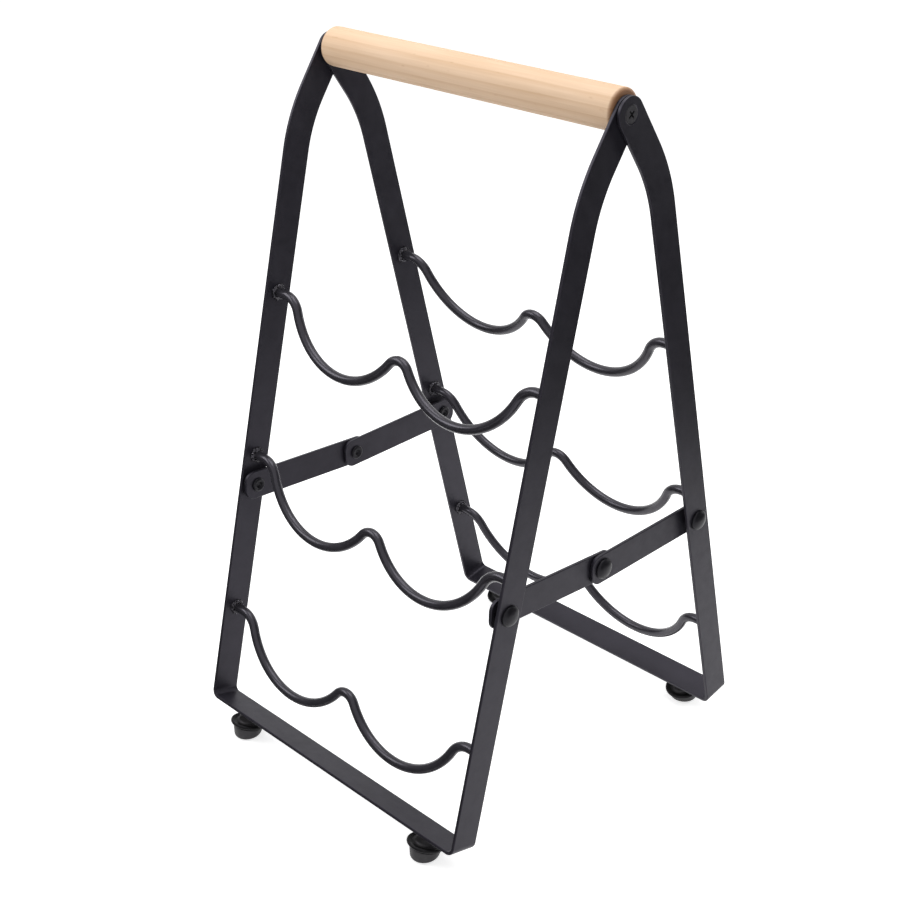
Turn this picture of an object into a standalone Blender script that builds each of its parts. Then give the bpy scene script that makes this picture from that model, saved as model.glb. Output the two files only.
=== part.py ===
"""Folding tabletop wine rack: two bent flat-bar frames, wire cradles, folding stays, a wooden handle."""
import math

import bmesh
import bpy
from mathutils import Matrix, Vector

# Flat bar, shared by the frames and the stays
BAR_WIDTH = 0.0198
BAR_THICKNESS = 0.0023
FIT_GAP = 0.0003

# Frame, one of two alike: its legs lean in a straight line, then curve in to the handle.
# The shoulder is where the two straight stretches would meet, measured from the screws' axis.
FRAME_LENGTH = 0.2474
CORNER_INNER_RADIUS = 0.0036
BASE_REACH = 0.1244
BAR_TOP_HEIGHT = 0.0198
APEX_HEIGHT = 0.4512
SHOULDER_REACH = 0.0277
SHOULDER_DROP = 0.0402
SHOULDER_RADIUS = 0.106

# Handle and its screws; the frames hang on the screws, and the dowel's middle is a little higher
HANDLE_RADIUS = 0.0122
HANDLE_EDGE = 0.0012
HANDLE_RISE = 0.0013
SCREW_HEAD_RADIUS = 0.0052
SCREW_SHANK_RADIUS = 0.0024
SCREW_LENGTH = 0.032
SCREW_POINT = 0.005
SCREW_POINT_SHARE = 0.25
RECESS_LENGTH = 0.0058
RECESS_WIDTH = 0.0013
RECESS_DEPTH = 0.0015
RECESS_FLOOR_SHARE = 0.5

# Wire cradles, three to a frame, measured up the leg from the bar's upper face
WIRE_RADIUS = 0.0032
CRADLE_START = 0.0663
CRADLE_PITCH = 0.1126
CRADLE_COUNT = 3
STUB_LENGTH = 0.0083
SCALLOP_DEPTH = 0.0382
CREST_DEPTH = 0.0131
SHOULDER_BEND = 0.015
CREST_BEND = 0.0106
WELD_RADIUS = 0.0045
WELD_LENGTH = 0.0024
WELD_FILLET_SHARE = 0.33

# Folding stays and their rivets; a collar on each leg's rivet holds the stay off the leg,
# so that the outboard stays fold past the inner legs
RIVET_HEIGHT = 0.1592
STAY_SAG = 0.0037
STAY_CORNER_RADIUS = 0.007
COLLAR_RADIUS = 0.0055
COLLAR_THICKNESS = 0.0025
RIVET_SHANK_RADIUS = 0.003
RIVET_HEAD_RADIUS = 0.0068
RIVET_HEAD_HEIGHT = 0.0032
RIVET_TAIL_RADIUS = 0.0048
RIVET_TAIL_HEIGHT = 0.0014
RIVET_TAIL_HOLLOW = 0.0022

# Feet, turned about the bar's normal and cut level with the table
FOOT_INSET = 0.0317
STUD_RADIUS = 0.003
STUD_LENGTH = 0.0095
NECK_RADIUS = 0.0069
NECK_LENGTH = 0.0056
NECK_EDGE = 0.0004
DISH_RADIUS = 0.0094
DISH_DROP = 0.0074
RIM_RADIUS = 0.0127
RIM_DROP = 0.0066
RIM_THICKNESS = 0.003
CUP_RADIUS = 0.0106
SOLE_RADIUS = 0.0076

# Shares (down, out) of the foot's rim and (down, in) of the cup under it
RIM_SHARES = ((0.0, 0.33), (0.25, 0.82), (0.5, 1.0), (0.83, 0.51))
CUP_SHARES = ((0.55, 0.12), (0.85, 0.38), (1.0, 1.0))

# Counts and the margin that every cutter runs past the face it cuts
WIRE_SIDES = 10
ROUND_SIDES = 24
HANDLE_SIDES = 40
CUT_OVERRUN = 0.001

LAYER_STEP = BAR_THICKNESS + FIT_GAP
COLLAR_STEP = COLLAR_THICKNESS + FIT_GAP * 2
FRAME_SHIFT = -LAYER_STEP / 2
HALF_WIDTH = BAR_WIDTH / 2
HALF_LENGTH = FRAME_LENGTH / 2


def clear_scene():
    for item in list(bpy.data.objects):
        bpy.data.objects.remove(item, do_unlink=True)


def material(name, colour, roughness, metallic=0.0):
    shade = bpy.data.materials.new(name)
    shade.use_nodes = True
    bsdf = shade.node_tree.nodes["Principled BSDF"]
    bsdf.inputs["Base Color"].default_value = (*colour, 1.0)
    bsdf.inputs["Roughness"].default_value = roughness
    bsdf.inputs["Metallic"].default_value = metallic
    shade.diffuse_color = (*colour, 1.0)
    return shade


def solid(name, loops, shade, parent, location=(0, 0, 0), pitch=0.0):
    """Skin loops of equal length, one after another, into one closed body."""
    bm = bmesh.new()
    rings = [[bm.verts.new(point) for point in loop] for loop in loops]
    for ring, following in zip(rings, rings[1:]):
        count = len(ring)
        for i in range(count):
            j = (i + 1) % count
            bm.faces.new((ring[i], ring[j], following[j], following[i]))
    bm.faces.new(rings[0])
    bm.faces.new(rings[-1])
    bmesh.ops.recalc_face_normals(bm, faces=bm.faces)
    mesh = bpy.data.meshes.new(name)
    bm.to_mesh(mesh)
    bm.free()
    mesh.shade_smooth()
    mesh.set_sharp_from_angle(angle=math.radians(32))
    item = bpy.data.objects.new(name, mesh)
    bpy.context.collection.objects.link(item)
    item.parent = parent
    item.location = location
    item.rotation_euler = (pitch, 0, 0)
    if shade:
        mesh.materials.append(shade)
    return item


def ring(along, radius, sides):
    """A circle about the X axis, one step of a turned profile."""
    turns = (2 * math.pi * k / sides for k in range(sides))
    return [(along, radius * math.cos(a), radius * math.sin(a)) for a in turns]


def turned(name, profile, sides, shade, parent, location, pitch=0.0):
    """A solid turned about X from (along, radius) pairs."""
    loops = [ring(along, radius, sides) for along, radius in profile]
    return solid(name, loops, shade, parent, location, pitch)


def cut(item, cutters):
    """Take closed cutters away from an object, and keep them as wire guides."""
    for cutter in cutters:
        cutter.hide_render = True
        cutter.display_type = "WIRE"
        step = item.modifiers.new(cutter.name, "BOOLEAN")
        step.operation = "DIFFERENCE"
        step.solver = "EXACT"
        step.object = cutter


def axis_empty(name, turn):
    """The screws' axis, which each frame hangs on and folds about."""
    empty = bpy.data.objects.new(name, None)
    bpy.context.collection.objects.link(empty)
    empty.location = (0, 0, APEX_HEIGHT)
    empty.rotation_euler = (0, 0, turn)
    return empty


# Leg centreline in a frame's own Y and Z, with the screws' axis as origin
BASE = Vector((-BASE_REACH, BAR_TOP_HEIGHT - APEX_HEIGHT))
SHOULDER = Vector((-SHOULDER_REACH, -SHOULDER_DROP))
LEG_UP = (SHOULDER - BASE).normalized()
TOP_UP = (-SHOULDER).normalized()
LEG_OUT = Vector((-LEG_UP.y, LEG_UP.x))


def on_leg(x, up, out=0.0):
    """A point of the leg's plane: X, distance up the leg, distance out from its centreline."""
    place = BASE + LEG_UP * up + LEG_OUT * out
    return Vector((x, place.x, place.y))


def leg_stations():
    """Centre, width direction and half width of the leg from its round top to the lower leg."""
    out_top = Vector((-TOP_UP.y, TOP_UP.x))
    stations = []
    for k in range(5, 0, -1):
        a = math.radians(15 * k + 4)
        stations.append((TOP_UP * HALF_WIDTH * math.sin(a), out_top, HALF_WIDTH * math.cos(a)))
    stations.append((Vector((0, 0)), out_top, HALF_WIDTH))
    bend = LEG_UP.angle(TOP_UP)
    tangent = SHOULDER_RADIUS * math.tan(bend / 2)
    centre = SHOULDER - LEG_UP * tangent - LEG_OUT * SHOULDER_RADIUS
    steps = 8
    for k in range(steps, -1, -1):
        turn = Matrix.Rotation(-bend * k / steps, 2)
        out = turn @ LEG_OUT
        stations.append((centre + out * SHOULDER_RADIUS, out, HALF_WIDTH))
    return stations


def strip_loop(centre, out, half, across):
    """One rectangle of the strip: width along out, thickness along across."""
    return [centre + out * half + across, centre + out * half - across,
            centre - out * half - across, centre - out * half + across]


def frame_loops():
    """Rectangles of the whole U, from the left leg's top, along the bottom bar, to the right leg's top."""
    half = BAR_THICKNESS / 2
    leg_x = -HALF_LENGTH + half
    out = Vector((0, LEG_OUT.x, LEG_OUT.y))
    up = Vector((0, LEG_UP.x, LEG_UP.y))
    left = []
    for centre, width, reach in leg_stations():
        middle = Vector((leg_x, centre.x, centre.y))
        left.append(strip_loop(middle, Vector((0, width.x, width.y)), reach, Vector((-half, 0, 0))))
    corner = on_leg(-HALF_LENGTH + BAR_THICKNESS + CORNER_INNER_RADIUS, CORNER_INNER_RADIUS)
    radius = CORNER_INNER_RADIUS + half
    steps = 5
    for k in range(steps + 1):
        a = math.pi / 2 * k / steps
        away = Vector((-math.cos(a), 0, 0)) - up * math.sin(a)
        left.append(strip_loop(corner + away * radius, out, HALF_WIDTH, away * half))
    flip = Matrix.Diagonal((-1, 1, 1))
    right = [[flip @ Vector(point) for point in loop] for loop in reversed(left)]
    return left + right


def frame_holes(name, parent):
    """Screw hole, countersunk in the outer leg, and rivet holes."""
    pin = SCREW_SHANK_RADIUS + FIT_GAP
    sink = SCREW_HEAD_RADIUS + FIT_GAP
    outer = FRAME_SHIFT - HALF_LENGTH
    depth = BAR_THICKNESS - FIT_GAP
    cone = ((-CUT_OVERRUN, sink), (0, sink), (depth, pin), (BAR_THICKNESS + CUT_OVERRUN, pin))
    place = (outer, 0, 0)
    cutters = [turned(name + "_countersink", cone, ROUND_SIDES, None, parent, place)]
    through = ((-CUT_OVERRUN, pin), (BAR_THICKNESS + CUT_OVERRUN, pin))
    place = (FRAME_SHIFT + HALF_LENGTH - BAR_THICKNESS, 0, 0)
    cutters.append(turned(name + "_screw_hole", through, ROUND_SIDES, None, parent, place))
    rivet = RIVET_SHANK_RADIUS + FIT_GAP
    bore = ((-CUT_OVERRUN, rivet), (BAR_THICKNESS + CUT_OVERRUN, rivet))
    for side, x in (("left", outer), ("right", FRAME_SHIFT + HALF_LENGTH - BAR_THICKNESS)):
        place = on_leg(x, RIVET_HEIGHT)
        cutters.append(turned(name + "_rivet_hole_" + side, bore, ROUND_SIDES, None, parent, place))
    return cutters


def build_frame(name, parent):
    frame = solid(name, frame_loops(), STEEL, parent, (FRAME_SHIFT, 0, 0))
    cut(frame, frame_holes(name, parent))


def scallop_sizes(half_run):
    """Scallop radius and the turns at its shoulder and crest, from its depth, crest and half run."""
    rise = SCALLOP_DEPTH - CREST_DEPTH
    a = 1 / SCALLOP_DEPTH - 1 / rise
    b = 2 * half_run / rise
    c = SCALLOP_DEPTH - rise + 2 * (CREST_BEND - SHOULDER_BEND) - half_run ** 2 / rise
    run = -2 * c / (b + math.sqrt(b * b - 4 * a * c))
    outer_turn = 2 * math.atan2(SCALLOP_DEPTH, run)
    crest_turn = 2 * math.atan2(rise, half_run - run)
    radius = run / math.sin(outer_turn) - SHOULDER_BEND
    return radius, outer_turn, crest_turn


def arc(points, centre, radius, start, end, steps):
    for k in range(steps + 1):
        a = start + (end - start) * k / steps
        points.append((centre[0] + radius * math.sin(a), centre[1] + radius * math.cos(a)))


def cradle_line():
    """Centreline of the left half of a cradle: X, and distance below its ends."""
    face = -HALF_LENGTH + BAR_THICKNESS + FIT_GAP
    start = face + STUB_LENGTH
    radius, outer_turn, crest_turn = scallop_sizes(-start)
    points = [(face, 0.0), (face + WELD_LENGTH / 2, 0.0), (face + WELD_LENGTH, 0.0)]
    arc(points, (start, -SHOULDER_BEND), SHOULDER_BEND, 0, outer_turn, 4)
    reach = SHOULDER_BEND + radius
    middle = (start + reach * math.sin(outer_turn), -SHOULDER_BEND + reach * math.cos(outer_turn))
    points.pop()
    arc(points, middle, radius, math.pi + outer_turn, math.pi - crest_turn, 11)
    points.pop()
    arc(points, (0, -CREST_DEPTH - CREST_BEND), CREST_BEND, -crest_turn, 0, 5)
    return points


def build_cradle(name, parent, up):
    half = cradle_line()
    line = half + [(-x, drop) for x, drop in reversed(half[:-1])]
    radii = [WIRE_RADIUS] * len(line)
    radii[0] = radii[-1] = WELD_RADIUS
    radii[1] = radii[-2] = WIRE_RADIUS + (WELD_RADIUS - WIRE_RADIUS) * WELD_FILLET_SHARE
    out = on_leg(0, 0, 1) - on_leg(0, 0)
    loops = []
    for i, (x, drop) in enumerate(line):
        before = line[max(i - 1, 0)]
        after = line[min(i + 1, len(line) - 1)]
        along = (on_leg(after[0], after[1]) - on_leg(before[0], before[1])).normalized()
        side = out.cross(along)
        centre = on_leg(x, up + drop)
        turns = [2 * math.pi * k / WIRE_SIDES for k in range(WIRE_SIDES)]
        loops.append([centre + (out * math.cos(a) + side * math.sin(a)) * radii[i] for a in turns])
    solid(name, loops, WIRE, parent, (FRAME_SHIFT, 0, 0))


# Stays: each reaches from its leg's rivet to the middle pivot, a little below the line of the rivets
STAY_RUN = -on_leg(0, RIVET_HEIGHT).y
STAY_LENGTH = math.hypot(STAY_RUN, STAY_SAG)
STAY_PITCH = -math.atan2(STAY_SAG, STAY_RUN)


def stay_outline():
    """Long flat bar with rounded corners, in Y and Z, from its rivet to the middle pivot."""
    points = []
    steps = 5
    flat = HALF_WIDTH - STAY_CORNER_RADIUS
    corners = ((STAY_LENGTH + flat, -flat), (STAY_LENGTH + flat, flat), (-flat, flat), (-flat, -flat))
    for k, (y, z) in enumerate(corners):
        for i in range(steps + 1):
            a = math.pi / 2 * (k - 1 + i / steps)
            points.append((y + STAY_CORNER_RADIUS * math.cos(a), z + STAY_CORNER_RADIUS * math.sin(a)))
    return points


def build_stay(name, parent, face):
    """One stay, its outboard face at X, origin on its rivet's axis."""
    outline = stay_outline()
    loops = [[(x, y, z) for y, z in outline] for x in (0, BAR_THICKNESS)]
    stay = solid(name, loops, STEEL, parent, on_leg(face, RIVET_HEIGHT), STAY_PITCH)
    rivet = RIVET_SHANK_RADIUS + FIT_GAP
    bore = ((-CUT_OVERRUN, rivet), (BAR_THICKNESS + CUT_OVERRUN, rivet))
    cut(stay, [turned(name + "_rivet_hole", bore, ROUND_SIDES, None, stay, (0, 0, 0)),
               turned(name + "_pivot_hole", bore, ROUND_SIDES, None, stay, (0, STAY_LENGTH, 0))])
    return stay


def head_profile(face, outward):
    """Domed head on a face, from its pole back to the shank; outward is the sign of X."""
    profile = []
    for k in range(1, 6):
        a = math.pi / 2 * k / 5
        height = RIVET_HEAD_HEIGHT * math.cos(a)
        profile.append((face + outward * (FIT_GAP + height), RIVET_HEAD_RADIUS * math.sin(a)))
    return profile


def tail_profile(face, inward):
    """Rolled tail with a hollow middle, from the shank to the hollow's floor; inward is the sign of X."""
    start = face + inward * FIT_GAP
    lip = (RIVET_TAIL_RADIUS + RIVET_TAIL_HOLLOW) / 2
    rim = start + inward * RIVET_TAIL_HEIGHT / 2
    return [(start, RIVET_TAIL_RADIUS), (rim, RIVET_TAIL_RADIUS),
            (start + inward * RIVET_TAIL_HEIGHT, lip), (rim, RIVET_TAIL_HOLLOW), (start, RIVET_TAIL_HOLLOW)]


def build_leg_rivet(name, parent, outer, outward):
    """Rivet through a leg and its stay: head on the leg's outer face, collar between, tail inboard."""
    collar = outer - outward * (BAR_THICKNESS + FIT_GAP)
    collar_end = collar - outward * COLLAR_THICKNESS
    inner = outer - outward * (BAR_THICKNESS * 2 + COLLAR_STEP)
    profile = head_profile(outer, outward)
    profile += [(outer + outward * FIT_GAP, RIVET_SHANK_RADIUS), (collar, RIVET_SHANK_RADIUS),
                (collar, COLLAR_RADIUS), (collar_end, COLLAR_RADIUS),
                (collar_end, RIVET_SHANK_RADIUS), (inner - outward * FIT_GAP, RIVET_SHANK_RADIUS)]
    profile += tail_profile(inner, -outward)
    turned(name, profile, ROUND_SIDES, RIVET, parent, on_leg(0, RIVET_HEIGHT))


def build_pivot_head(name, stay):
    """Head half of a middle rivet, on the outboard stay, its head towards -X."""
    profile = head_profile(0, -1)
    profile += [(-FIT_GAP, RIVET_SHANK_RADIUS), (BAR_THICKNESS, RIVET_SHANK_RADIUS)]
    turned(name, profile, ROUND_SIDES, RIVET, stay, (0, STAY_LENGTH, 0))


def build_pivot_tail(name, stay):
    """Tail half of a middle rivet, on the inboard stay, its tail towards -X."""
    profile = [(BAR_THICKNESS, RIVET_SHANK_RADIUS), (-FIT_GAP, RIVET_SHANK_RADIUS)]
    profile += tail_profile(0, -1)
    turned(name, profile, ROUND_SIDES, RIVET, stay, (0, STAY_LENGTH, 0))


def build_foot(name, parent, x):
    """Soft foot, turned about the bar's normal, its sole cut level with the table."""
    under = on_leg(x, -BAR_THICKNESS)
    down = on_leg(0, 0) - on_leg(0, 1)
    out = on_leg(0, 0, 1) - on_leg(0, 0)
    bore = STUD_RADIUS + FIT_GAP
    rim_bottom = RIM_DROP + RIM_THICKNESS
    rim_round = RIM_THICKNESS / 2
    profile = [(STUD_LENGTH + FIT_GAP, bore), (FIT_GAP, bore), (FIT_GAP, NECK_RADIUS - NECK_EDGE),
               (FIT_GAP + NECK_EDGE, NECK_RADIUS), (NECK_LENGTH, NECK_RADIUS),
               (DISH_DROP, (NECK_RADIUS + DISH_RADIUS) / 2), (DISH_DROP, DISH_RADIUS)]
    for fall, reach in RIM_SHARES:
        profile.append((RIM_DROP + RIM_THICKNESS * fall, RIM_RADIUS - rim_round * (1 - reach)))
    profile.append((rim_bottom, CUP_RADIUS))
    loops = []
    turns = [2 * math.pi * k / ROUND_SIDES for k in range(ROUND_SIDES)]

    def point(radius, a, drop):
        return under + Vector((radius * math.cos(a), 0, 0)) + out * radius * math.sin(a) + down * drop

    def sole_drop(radius, a):
        return (point(radius, a, 0).z + APEX_HEIGHT) / -down.z

    for drop, radius in profile:
        loops.append([point(radius, a, drop) for a in turns])
    for fall, draw in CUP_SHARES:
        radius = CUP_RADIUS + (SOLE_RADIUS - CUP_RADIUS) * draw
        drops = [rim_bottom + (sole_drop(radius, a) - rim_bottom) * fall for a in turns]
        loops.append([point(radius, a, drop) for a, drop in zip(turns, drops)])
    solid(name, loops, RUBBER, parent)


def build_foot_stud(name, parent, x):
    """Steel stud welded under the bar, hidden in the foot's neck."""
    under = on_leg(x, -BAR_THICKNESS)
    down = on_leg(0, 0) - on_leg(0, 1)
    out = on_leg(0, 0, 1) - on_leg(0, 0)
    loops = []
    for drop in (FIT_GAP, STUD_LENGTH):
        centre = under + down * drop
        turns = (2 * math.pi * k / ROUND_SIDES for k in range(ROUND_SIDES))
        loops.append([centre + Vector((STUD_RADIUS * math.cos(a), 0, 0)) + out * STUD_RADIUS * math.sin(a)
                      for a in turns])
    solid(name, loops, ZINC, parent)


def build_handle(name, parent):
    """Round dowel between the inner legs, with a pilot hole for each screw."""
    end = HALF_LENGTH - FRAME_SHIFT - LAYER_STEP - BAR_THICKNESS - FIT_GAP
    neck = HANDLE_RADIUS - HANDLE_EDGE
    half = [(-end, neck)]
    for k in range(1, 4):
        a = math.pi / 2 * k / 3
        half.append((-end + HANDLE_EDGE * (1 - math.cos(a)), neck + HANDLE_EDGE * math.sin(a)))
    profile = half + [(-x, radius) for x, radius in reversed(half)]
    handle = turned(name, profile, HANDLE_SIDES, WOOD, parent, (0, 0, HANDLE_RISE))
    pilot = SCREW_SHANK_RADIUS + FIT_GAP
    depth = SCREW_LENGTH + FIT_GAP - LAYER_STEP * 2
    bore = ((-CUT_OVERRUN, pilot), (depth, pilot))
    cutters = []
    for side, turn in (("left", 0), ("right", math.pi)):
        place = (-end if turn == 0 else end, 0, -HANDLE_RISE)
        cutters.append(turned(name + "_pilot_" + side, bore, ROUND_SIDES, None, handle, place))
        cutters[-1].rotation_euler.z = turn
    cut(handle, cutters)


def build_screw(name, parent, side):
    """Countersunk cross-head screw through both legs into the handle; side is the sign of X."""
    face = side * (HALF_LENGTH - FRAME_SHIFT)
    depth = BAR_THICKNESS - FIT_GAP
    profile = [(face, SCREW_HEAD_RADIUS), (face - side * depth, SCREW_SHANK_RADIUS),
               (face - side * (SCREW_LENGTH - SCREW_POINT), SCREW_SHANK_RADIUS),
               (face - side * SCREW_LENGTH, SCREW_SHANK_RADIUS * SCREW_POINT_SHARE)]
    screw = turned(name, profile, ROUND_SIDES, SCREW, parent, (0, 0, 0))
    cutters = []
    for label, pitch in (("a", math.pi / 4), ("b", -math.pi / 4)):
        loops = []
        for along, reach, wide in ((CUT_OVERRUN, RECESS_LENGTH / 2, RECESS_WIDTH / 2),
                                   (0, RECESS_LENGTH / 2, RECESS_WIDTH / 2),
                                   (-RECESS_DEPTH, RECESS_LENGTH / 2 * RECESS_FLOOR_SHARE,
                                    RECESS_WIDTH / 2 * RECESS_FLOOR_SHARE)):
            x = face + side * along
            loops.append([(x, reach, wide), (x, -reach, wide), (x, -reach, -wide), (x, reach, -wide)])
        cutters.append(solid(name + "_recess_" + label, loops, None, parent, (0, 0, 0), pitch))
    cut(screw, cutters)


def build_half(label, turn):
    """One frame with all that rides on it; the other is the same, turned about the vertical."""
    axis = axis_empty(label + "_axis", turn)
    near, far = ("left", "right") if turn == 0 else ("right", "left")
    build_frame(label + "_frame", axis)
    for k, level in zip(range(CRADLE_COUNT), ("bottom", "middle", "top")):
        build_cradle(label + "_cradle_" + level, axis, CRADLE_START + CRADLE_PITCH * k)
    for side, x in ((near, FOOT_INSET - HALF_LENGTH), (far, HALF_LENGTH - FOOT_INSET)):
        build_foot(label + "_foot_" + side, axis, FRAME_SHIFT + x)
        build_foot_stud(label + "_foot_stud_" + side, axis, FRAME_SHIFT + x)
    outer = FRAME_SHIFT - HALF_LENGTH
    stay = build_stay(label + "_stay_" + near, axis, outer + BAR_THICKNESS + COLLAR_STEP)
    build_leg_rivet(label + "_leg_rivet_" + near, axis, outer, -1)
    build_pivot_head("pivot_rivet_head_" + near, stay)
    inner = FRAME_SHIFT + HALF_LENGTH
    stay = build_stay(label + "_stay_" + far, axis, inner - BAR_THICKNESS * 2 - COLLAR_STEP)
    build_leg_rivet(label + "_leg_rivet_" + far, axis, inner, 1)
    build_pivot_tail("pivot_rivet_tail_" + far, stay)
    return axis


clear_scene()
STEEL = material("black_powder_coat", (0.022, 0.022, 0.024), 0.42)
WIRE = material("black_wire_coat", (0.02, 0.02, 0.022), 0.36)
RIVET = material("black_rivet", (0.016, 0.016, 0.017), 0.34)
SCREW = material("black_screw", (0.018, 0.018, 0.019), 0.4)
ZINC = material("zinc_steel", (0.55, 0.55, 0.57), 0.35, 1.0)
WOOD = material("pale_pine", (0.78, 0.58, 0.39), 0.55)
RUBBER = material("black_rubber", (0.014, 0.014, 0.014), 0.6)
front = build_half("front", 0)
build_half("rear", math.pi)
build_handle("handle", front)
build_screw("handle_screw_left", front, -1)
build_screw("handle_screw_right", front, 1)
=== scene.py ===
import math

import bmesh
import bpy
from mathutils import Matrix, Vector


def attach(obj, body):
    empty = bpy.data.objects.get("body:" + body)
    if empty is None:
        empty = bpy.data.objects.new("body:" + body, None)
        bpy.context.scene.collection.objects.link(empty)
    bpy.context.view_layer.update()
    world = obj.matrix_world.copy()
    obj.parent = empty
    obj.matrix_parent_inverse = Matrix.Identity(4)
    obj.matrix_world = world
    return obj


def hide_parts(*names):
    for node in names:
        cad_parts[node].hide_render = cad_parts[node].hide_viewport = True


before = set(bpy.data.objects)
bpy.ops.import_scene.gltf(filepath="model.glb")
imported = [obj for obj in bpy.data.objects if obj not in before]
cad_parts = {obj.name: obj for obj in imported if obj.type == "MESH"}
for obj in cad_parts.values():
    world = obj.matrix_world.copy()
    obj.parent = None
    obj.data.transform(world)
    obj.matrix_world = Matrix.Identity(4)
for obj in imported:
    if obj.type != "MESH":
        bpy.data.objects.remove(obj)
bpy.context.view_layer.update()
print("frame loaded:", len(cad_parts), "nodes")

# Sizes that several pieces share, in metres. The leg's line goes up from the bottom bar's upper face.
rack = {
    "barWidth": 0.0198,
    "barThickness": 0.0023,
    "fitGap": 0.0003,
    "frameLength": 0.2474,
    "baseReach": 0.1244,
    "barTopHeight": 0.0198,
    "apexHeight": 0.4512,
    "shoulderReach": 0.0277,
    "shoulderDrop": 0.0402,
    "rivetHeight": 0.1592,
    "collarThickness": 0.0025,
}
halfWidth = rack["barWidth"] / 2
halfLength = rack["frameLength"] / 2
layerStep = rack["barThickness"] + rack["fitGap"]
collarStep = rack["collarThickness"] + rack["fitGap"] * 2
frameShift = -layerStep / 2
legRun = rack["baseReach"] - rack["shoulderReach"]
legRise = rack["apexHeight"] - rack["shoulderDrop"] - rack["barTopHeight"]
lean = math.atan2(legRun, legRise)
shoulderUp = math.hypot(legRun, legRise)
halfTurn = (0, 0, math.pi)
quarterTurn = (0, math.pi / 2, 0)

cutterLength = rack["barThickness"] * 3

touch = 0.0001  # what is nearer than this counts as there
seam = 0.00001  # the same, finer, for seams and for what lies on the table
facingShare = 0.9  # from here on a face or an edge counts as facing one way


def onLeg(x, up, out=0.0):
    # a point of the front leg's plane, in the rack's own frame
    y = -rack["baseReach"] + up * math.sin(lean) - out * math.cos(lean)
    z = rack["barTopHeight"] + up * math.cos(lean) + out * math.sin(lean)
    return Vector((x, y, z))


def pick(piece):
    bpy.ops.object.select_all(action="DESELECT")
    piece.select_set(True)
    bpy.context.view_layer.objects.active = piece


def nameIt(name):
    piece = bpy.context.object
    piece.name = name
    piece.data.name = name
    return piece


def settle(piece):
    # the piece's place, turn and size go into its mesh
    pick(piece)
    bpy.ops.object.transform_apply(location=True, rotation=True, scale=True)
    return piece


def openMesh(piece):
    pick(piece)
    bpy.ops.object.mode_set(mode="EDIT")
    bpy.ops.mesh.select_all(action="DESELECT")


def closeMesh():
    bpy.ops.object.mode_set(mode="OBJECT")


def chooseFaces(wanted):
    bpy.ops.mesh.select_all(action="DESELECT")
    mesh = bmesh.from_edit_mesh(bpy.context.edit_object.data)
    for face in mesh.faces:
        if wanted(face.calc_center_median(), face.normal):
            face.select_set(True)
    bmesh.update_edit_mesh(bpy.context.edit_object.data)


def chooseEdges(wanted):
    bpy.ops.mesh.select_all(action="DESELECT")
    mesh = bmesh.from_edit_mesh(bpy.context.edit_object.data)
    for edge in mesh.edges:
        start, end = (corner.co for corner in edge.verts)
        if wanted((start + end) / 2, (end - start).normalized()):
            edge.select_set(True)
    bmesh.update_edit_mesh(bpy.context.edit_object.data)


def addModifier(piece, kind, **settings):
    pick(piece)
    bpy.ops.object.modifier_add(type=kind)
    modifier = piece.modifiers[-1]
    for setting, value in settings.items():
        setattr(modifier, setting, value)
    return modifier


def applyModifiers(piece):
    pick(piece)
    for modifier in list(piece.modifiers):
        bpy.ops.object.modifier_apply(modifier=modifier.name)


def cutAway(piece, cutters):
    for cutter in cutters:
        addModifier(piece, "BOOLEAN", operation="DIFFERENCE", solver="EXACT", object=cutter)
    applyModifiers(piece)
    discard(*cutters)


def smooth(piece, degrees=34):
    pick(piece)
    bpy.ops.object.shade_smooth_by_angle(angle=math.radians(degrees))
    addModifier(piece, "WEIGHTED_NORMAL", keep_sharp=True)
    applyModifiers(piece)


def copyPiece(piece, name, move=(0, 0, 0), turn=(0, 0, 0)):
    pick(piece)
    bpy.ops.object.duplicate(linked=False)
    twin = nameIt(name)
    twin.location = move
    twin.rotation_euler = turn
    return settle(twin)


def standUp(piece):
    # leans a piece that was modelled on an upright leg with its foot at zero
    piece.location = onLeg(frameShift, 0)
    piece.rotation_euler = (-lean, 0, 0)
    return settle(piece)


def discard(*pieces):
    for piece in pieces:
        pick(piece)
        bpy.ops.object.delete()


def closeHoles():
    bpy.ops.mesh.select_all(action="SELECT")
    bpy.ops.mesh.fill_holes(sides=0)
    bpy.ops.mesh.select_all(action="SELECT")
    bpy.ops.mesh.normals_make_consistent(inside=False)


def ringByRing(name, sides, rings):
    # a round piece about the X axis: a circle, extruded and resized from one ring to the next
    bpy.ops.object.select_all(action="DESELECT")
    along, radius = rings[0]
    bpy.ops.mesh.primitive_circle_add(vertices=sides, radius=radius, location=(along, 0, 0),
                                      rotation=quarterTurn)
    piece = settle(nameIt(name))
    openMesh(piece)
    bpy.ops.mesh.select_all(action="SELECT")
    for nextAlong, nextRadius in rings[1:]:
        bpy.ops.mesh.extrude_region_move(TRANSFORM_OT_translate={"value": (nextAlong - along, 0, 0)})
        scale = nextRadius / radius
        bpy.ops.transform.resize(value=(1, scale, scale), center_override=(nextAlong, 0, 0))
        along, radius = nextAlong, nextRadius
    closeHoles()
    closeMesh()
    return piece


def bend(rings, centre, radius, start, end, steps):
    # adds a round edge to a list of rings, from start to end degrees, 0 along the axis and 90 outwards
    for step in range(steps + 1):
        angle = math.radians(start + (end - start) * step / steps)
        rings.append((centre[0] + radius * math.cos(angle), centre[1] + radius * math.sin(angle)))


# materials: every pattern is read on the piece's own coordinates, in metres

white = (1.0, 1.0, 1.0)
noiseLow, noiseHigh = 0.3, 0.7  # between these lies most of what a noise texture gives


def newMaterial(name):
    material = bpy.data.materials.new(name)
    material.use_nodes = True
    return material, material.node_tree, material.node_tree.nodes["Principled BSDF"]


def addNode(tree, kind, inputs=None, **settings):
    node = tree.nodes.new(kind)
    for setting, value in settings.items():
        setattr(node, setting, value)
    for socket, value in (inputs or {}).items():
        node.inputs[socket].default_value = value
    return node


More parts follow.
